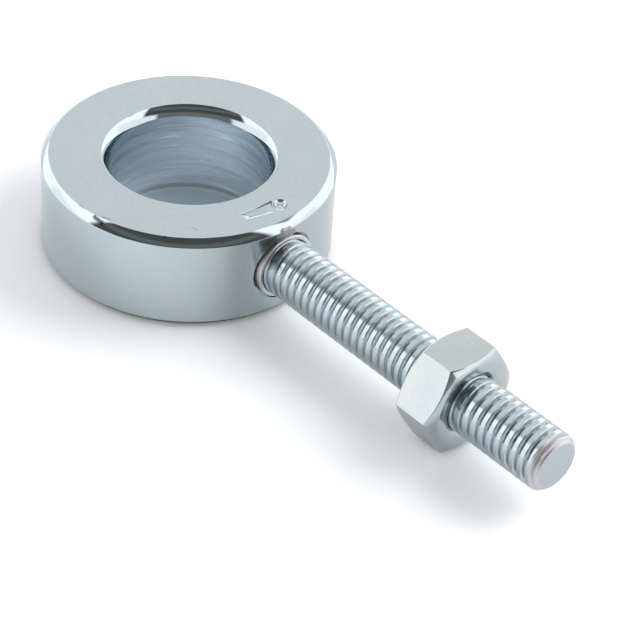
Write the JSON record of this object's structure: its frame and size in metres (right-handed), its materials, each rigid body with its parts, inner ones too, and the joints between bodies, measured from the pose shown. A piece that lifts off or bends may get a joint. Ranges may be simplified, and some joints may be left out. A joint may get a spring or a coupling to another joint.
{
  "type": "chain adjuster",
  "caption": "Zinc-plated steel chain adjuster: a chamfered ring eye for a wheel axle with a radial threaded stud and a hexagon nut that runs along it.",
  "frame": {"origin": "middle of the eye, on the axle bore's axis and half way along the ring's width", "axes": "+Z along the axle bore, out of the face that carries the stamped mark; +X along the stud towards its free end"},
  "size_m": [0.067, 0.03, 0.0106],
  "materials": {
    "zinc_turned": "bright blue-passivated zinc on turned steel, smooth and glossy with a faint cloudy tint",
    "zinc_thread": "bright blue-passivated zinc on a rolled thread, glossy crests and greyer flanks",
    "zinc_nut": "bright zinc on a pressed nut, satin flats"
  },
  "bodies": {
    "adjuster": {"eye_ring": "zinc_turned", "threaded_stud": "zinc_thread"},
    "nut": {"hex_nut": "zinc_nut"}
  },
  "joints": [
    {"name": "nut_travel", "type": "slide", "parent": "adjuster", "child": "nut", "axis": [1, 0, 0], "range_m": [-0.021, 0.01]}
  ]
}
